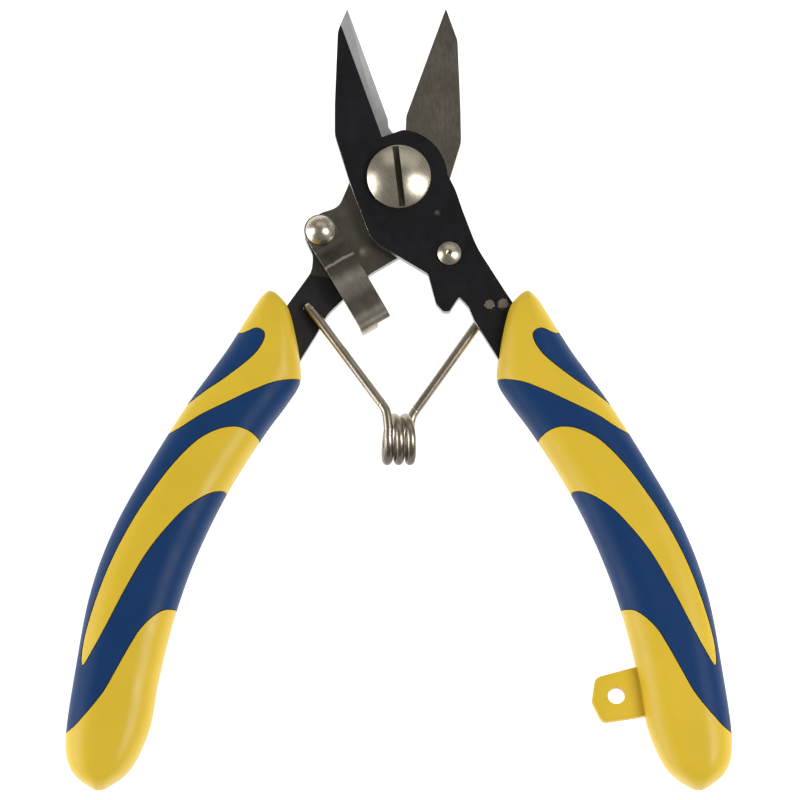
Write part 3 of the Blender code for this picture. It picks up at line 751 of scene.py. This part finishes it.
def latch_path():
    """The latch's lower face from the side: rounded bends and a slightly arched flat."""
    low, high = REAR_TOP + 0.3, FRONT_TOP + 0.3
    end = LATCH_LENGTH - LATCH_SHEET
    middle = (LATCH_RAMP[1] + end) / 2
    corners = [(-LATCH_HALF_WIDTH, low, 0), (LATCH_RAMP[0], low, 5),
               (LATCH_RAMP[1], high - 0.2, 1.2), (middle, high, 40),
               (end, high - 0.15, LATCH_BEND - LATCH_SHEET),
               (end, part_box("latch_lever")[0][2] / MM + 0.1, 0)]
    path = [Vector(corners[0][:2])]
    for before, corner, after in zip(corners, corners[1:], corners[2:]):
        path += rounded([before[:2] + (0,), corner, after[:2] + (0,)], 10)[1:-1]
    return path + [Vector(corners[-1][:2])]


def latch_cutter(name, corners, low, high):
    """A cutter over an outline that is drawn along the latch, from its rivet."""
    turn = Matrix.Rotation(LATCH_ANGLE, 2)
    outline = [turn @ Vector(corner) + Vector(LATCH) for corner in corners]
    return helper(prism(name, outline, low, high))


def latch_sheet():
    """The bent sheet of the lever, still with square ends."""
    low = latch_path()
    high = []
    for i, point in enumerate(low):
        before = (point - low[i - 1] if i else low[1] - point).normalized()
        after = (low[i + 1] - point).normalized() if i < len(low) - 1 else before
        mid = (before + after).normalized()
        high.append(point + Vector((-mid.y, mid.x)) * LATCH_SHEET / max(mid.dot(after), 0.7))
    shape = bmesh.new()
    ring = low + high[::-1]
    rows = [[shape.verts.new((p.x, side * LATCH_HALF_WIDTH, p.y)) for p in ring]
            for side in (-1, 1)]
    for i in range(len(ring)):
        k = (i + 1) % len(ring)
        shape.faces.new((rows[0][i], rows[0][k], rows[1][k], rows[1][i]))
    shape.faces.new(rows[0])
    shape.faces.new(rows[1][::-1])
    lever = object_from_bmesh("latch_lever_sheet", shape)
    turn = Matrix.Rotation(LATCH_ANGLE, 4, "Z") @ Matrix.Scale(MM, 4)
    lever.data.transform(Matrix.Translation(place(*LATCH)) @ turn)
    return lever


def make_latch():
    """The lever, with a round end at the rivet.

    Its tongue is narrower below the front half's top, so that it passes the nose as the
    jaws close. Its edges are bright on the side away from the pivot.
    """
    lever = latch_sheet()
    half = LATCH_HALF_WIDTH
    turns = [math.radians(90 + 180 * i / 24) for i in range(25)]
    far = LATCH_LENGTH + 1
    blank = [(half * math.cos(a), half * math.sin(a)) for a in turns] + [(far, -half), (far, half)]
    boolean(lever, latch_cutter("latch_blank", blank, 0, GRIP_THICK), "INTERSECT")
    near, side = far - LATCH_BEND - 2, half - TONGUE_TRIM
    tongue = [(near, side), (far, side), (far, half + 1), (near, half + 1)]
    boolean(lever, latch_cutter("tongue_trim", tongue, 0, FRONT_TOP + 0.3))
    boolean(lever, helper(cylinder("latch_hole", LATCH, 0, GRIP_THICK, LATCH_HOLE_RADIUS)))
    baked(lever)
    dress(lever, "latch", "edge")
    add_bevel(lever, LATCH_EDGE, 1, 45, 1)
    baked(lever)
    # Painted highlight: only the edges that face left keep the bright edge material
    for polygon in lever.data.polygons:
        if polygon.normal.x > -0.1:
            polygon.material_index = 0
    complete(lever, "latch", "latch_lever", 30)


# Spring


def coil_point(turn):
    """The wire's middle at a turn of the coil, from 0 on the left to COIL_TURNS."""
    angle = 2 * math.pi * turn
    height = COIL_RADIUS * math.cos(angle)
    across = COIL_PITCH * (turn - COIL_TURNS / 2) + COIL_SKEW * height
    return Vector((across, COIL_Y - COIL_RADIUS * math.sin(angle), MID_Z + height))


def spring_leg(side):
    """Points from the tang's hole down to the coil. side is -1 for the left, 1 for the right."""
    clear = WIRE_GAP + WIRE_RADIUS
    level = REAR_TOP + clear if side < 0 else MID_Z + 0.15 - clear
    through = -1 if side < 0 else 1
    eye = Vector((side * SPRING_EYE[0], SPRING_EYE[1], level))
    start = coil_point(0 if side < 0 else COIL_TURNS)
    shoulder = Vector((start.x + side * 0.35, COIL_Y + SHOULDER_RISE, start.z))
    along = (shoulder - eye).normalized()
    down = Vector((0, 0, through))
    bend = [eye + along * EYE_BEND * (1 - math.cos(a)) + down * EYE_BEND * (1 - math.sin(a))
            for a in (0, math.pi / 8, math.pi / 4, 3 * math.pi / 8, math.pi / 2)]
    return [eye + down * 3.6, eye + down * 1.7, *bend,
            eye + along * 3.0, shoulder - along * 3.5, shoulder - along * 1.2,
            shoulder + Vector((0, -0.4, 0)), start + Vector((0, 1.6, 0))]


def make_spring():
    """One wire from eye to eye, wound into the coil in its middle, in place of the spring's two
    parts.
    """
    left, right = spring_leg(-1), spring_leg(1)[::-1]
    coil = [coil_point(COIL_TURNS * i / COIL_STEPS) for i in range(COIL_STEPS + 1)]
    route = [smooth_rail(left + coil[:1], i / LEG_STEPS) for i in range(LEG_STEPS)] + coil
    route += [smooth_rail(coil[-1:] + right, i / LEG_STEPS) for i in range(1, LEG_STEPS + 1)]
    curve = bpy.data.curves.new("spring", "CURVE")
    curve.dimensions = "3D"
    curve.bevel_depth = WIRE_RADIUS * MM
    curve.bevel_resolution = 6
    curve.use_fill_caps = True
    spline = curve.splines.new("POLY")
    spline.points.add(len(route) - 1)
    for target, point in zip(spline.points, route):
        target.co = (*place(*point), 1)
    wire = bpy.data.objects.new("spring_curve", curve)
    bpy.context.scene.collection.objects.link(wire)
    bpy.context.view_layer.update()
    graph = bpy.context.evaluated_depsgraph_get()
    mesh = bpy.data.meshes.new_from_object(wire.evaluated_get(graph))
    bpy.data.objects.remove(wire)
    spring = bpy.data.objects.new("spring", mesh)
    bpy.context.scene.collection.objects.link(spring)
    dress(spring, "wire")
    mesh.shade_smooth()
    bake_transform(spring)
    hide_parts("spring_left", "spring_right")


# Grips


def section_angles():
    """Angles round a grip's section, closer together at the parting line on its two sides."""
    angles = [2 * math.pi * i / GRIP_SIDES for i in range(GRIP_SIDES)]
    extra = [centre + step for centre in (0, math.pi) for step in GROOVE_ANGLES]
    return sorted(angle % (2 * math.pi) for angle in angles + extra)


def grip_section(inner, outer, thick, groove):
    """A flattened superellipse between two points, with the parting line cut into its sides."""
    middle, reach = (inner + outer) / 2, (outer - inner) / 2
    ring = []
    for angle in section_angles():
        across = math.copysign(abs(math.cos(angle)) ** (2 / GRIP_SQUARENESS), math.cos(angle))
        up = math.copysign(abs(math.sin(angle)) ** (2 / GRIP_SQUARENESS), math.sin(angle))
        up = max(-1.0, min(1.0, up * GRIP_FLAT))
        if min(abs(angle), abs(angle - math.pi), abs(angle - 2 * math.pi)) < 0.01:
            across *= 1 - groove / max(reach.length, 1)
        spot = middle + reach * across
        ring.append((spot.x, spot.y, MID_Z + thick * up))
    return ring


def grip_solid(name, side, inset=0.0, groove=0.0):
    """One grip, lofted down its two rails. side is -1 for the left grip; inset shrinks it."""
    inner_rail, outer_rail = [pair[0] for pair in GRIP_RAILS], [pair[1] for pair in GRIP_RAILS]
    trim = inset / GRIP_LENGTH
    shape = bmesh.new()
    rings = []
    for i in range(GRIP_STATIONS):
        t = (1 - math.cos(math.pi * i / (GRIP_STATIONS - 1))) / 2
        t = trim + (1 - 2 * trim) * t
        inner, outer = smooth_rail(inner_rail, t), smooth_rail(outer_rail, t)
        across = (outer - inner).normalized()
        reach = min(inset + GRIP_SKIN, 0.4 * (outer - inner).length)
        inner, outer = inner + across * reach, outer - across * reach
        fullness = (1 - abs(2 * t - 1) ** GRIP_END_POWER) ** 0.5
        thick = max((GRIP_THICK / 2) * fullness, GRIP_END_THICK + inset) - inset
        ring = grip_section(inner, outer, thick, groove)
        rings.append([shape.verts.new(place(side * x, y, z)) for x, y, z in ring])
    count = len(rings[0])
    for near, far in zip(rings, rings[1:]):
        for i in range(count):
            k = (i + 1) % count
            shape.faces.new((near[i], near[k], far[k], far[i]))
    shape.faces.new(rings[0])
    shape.faces.new(rings[-1][::-1])
    return object_from_bmesh(name, shape)


def sided(outline, side):
    """An outline of the right grip, mirrored for the left one."""
    return outline if side > 0 else [Vector((-p.x, p.y)) for p in reversed(outline)]


def make_inlay(label, part, side, edge, core, body):
    """An inlay within an outline, and its recess as a cut in the grip's core."""
    name = f"{label}_{part}_inlay"
    outline = sided(smooth_loop(edge, INLAY_STEPS), side)
    inlay = grip_solid(name + "_skin", side, 0, PARTING_GROOVE)
    within = prism(name + "_edge", grown(outline, -SEAM), -1, GRIP_THICK + 1)
    boolean(inlay, helper(within), "INTERSECT")
    boolean(inlay, helper(grip_solid(name + "_inside", side, INLAY_DEPTH)))
    baked(inlay)
    recess = prism(name + "_recess", grown(outline, SEAM), -1, GRIP_THICK + 1)
    boolean(recess, helper(grip_solid(name + "_floor", side, INLAY_DEPTH + 0.05)))
    boolean(core, helper(baked(recess)))
    dress(inlay, "blue")
    complete(inlay, body, name)


def make_grip(label, side, body):
    """A grip with its inlays. The right one carries the lanyard tab."""
    core = grip_solid(f"{label}_grip_core", side, 0, PARTING_GROOVE)
    if side > 0:
        low = MID_Z - TAB_THICK / 2
        tab = prism("lanyard_tab", rounded(TAB_CORNERS, 8), low, low + TAB_THICK)
        add_bevel(tab, TAB_EDGE, 3, 40)
        boolean(core, helper(tab), "UNION")
        boolean(core, helper(cylinder("tab_hole", TAB_HOLE, 0, GRIP_THICK, TAB_HOLE_RADIUS)))
    make_inlay(label, "upper", side, TEARDROP, core, body)
    make_inlay(label, "main", side, BAND, core, body)
    baked(core)
    dress(core, "yellow")
    complete(core, body, f"{label}_grip")


# Stage


def make_floor():
    """A floor that shows white and still takes soft shadows."""
    shape = bmesh.new()
    bmesh.ops.create_grid(shape, x_segments=1, y_segments=1, size=FLOOR_HALF_WIDTH)
    bmesh.ops.translate(shape, verts=shape.verts, vec=(0, 0, FLOOR_LEVEL))
    floor = object_from_bmesh("floor", shape)
    nodes = Nodes("floor_white")
    nodes.set(Base_Color=(FLOOR_GREY, FLOOR_GREY, FLOOR_GREY, 1), Roughness=0.9,
              Emission_Color=(1, 1, 1, 1), Emission_Strength=FLOOR_GLOW)
    floor.data.materials.append(nodes.material)


def add_softbox(name, location, size, power):
    light = bpy.data.lights.new(name, "AREA")
    light.shape = "RECTANGLE"
    light.size, light.size_y = size
    light.energy = power
    lamp = bpy.data.objects.new(name, light)
    lamp.location = location
    towards = CAMERA_TARGET - Vector(location)
    lamp.rotation_euler = towards.to_track_quat("-Z", "Y").to_euler()
    bpy.context.scene.collection.objects.link(lamp)


def make_stage():
    make_floor()
    world = bpy.data.worlds.new("studio")
    world.use_nodes = True
    background = world.node_tree.nodes["Background"]
    background.inputs["Color"].default_value = (1, 1, 1, 1)
    background.inputs["Strength"].default_value = WORLD_STRENGTH
    bpy.context.scene.world = world
    for softbox in SOFTBOXES:
        add_softbox(*softbox)
    bpy.context.scene.view_settings.view_transform = "Standard"


def make_camera():
    data = bpy.data.cameras.new("camera")
    data.lens = CAMERA_LENS
    camera = bpy.data.objects.new("camera", data)
    back = Vector((0, -math.cos(CAMERA_ELEVATION), math.sin(CAMERA_ELEVATION)))
    camera.location = CAMERA_TARGET + back * CAMERA_DISTANCE
    camera.rotation_euler = (-back).to_track_quat("-Z", "Y").to_euler()
    bpy.context.scene.collection.objects.link(camera)
    bpy.context.scene.camera = camera


materials = make_materials()
make_camera()
make_stage()
make_plate("front_half", "front", ("black", "ground", "wall", "bevel", "edge"))
make_plate("rear_half", "rear", ("ground", "black", "wall", "bevel", "edge"))
make_pivot()
make_stop_pin()
make_latch()
make_latch_rivet()
make_spring()
make_grip("right", 1, "front")
make_grip("left", -1, "rear")
dress(frame["nodes"]["pivot_nut"], "nickel")
dress(frame["nodes"]["pivot_washer"], "wire")
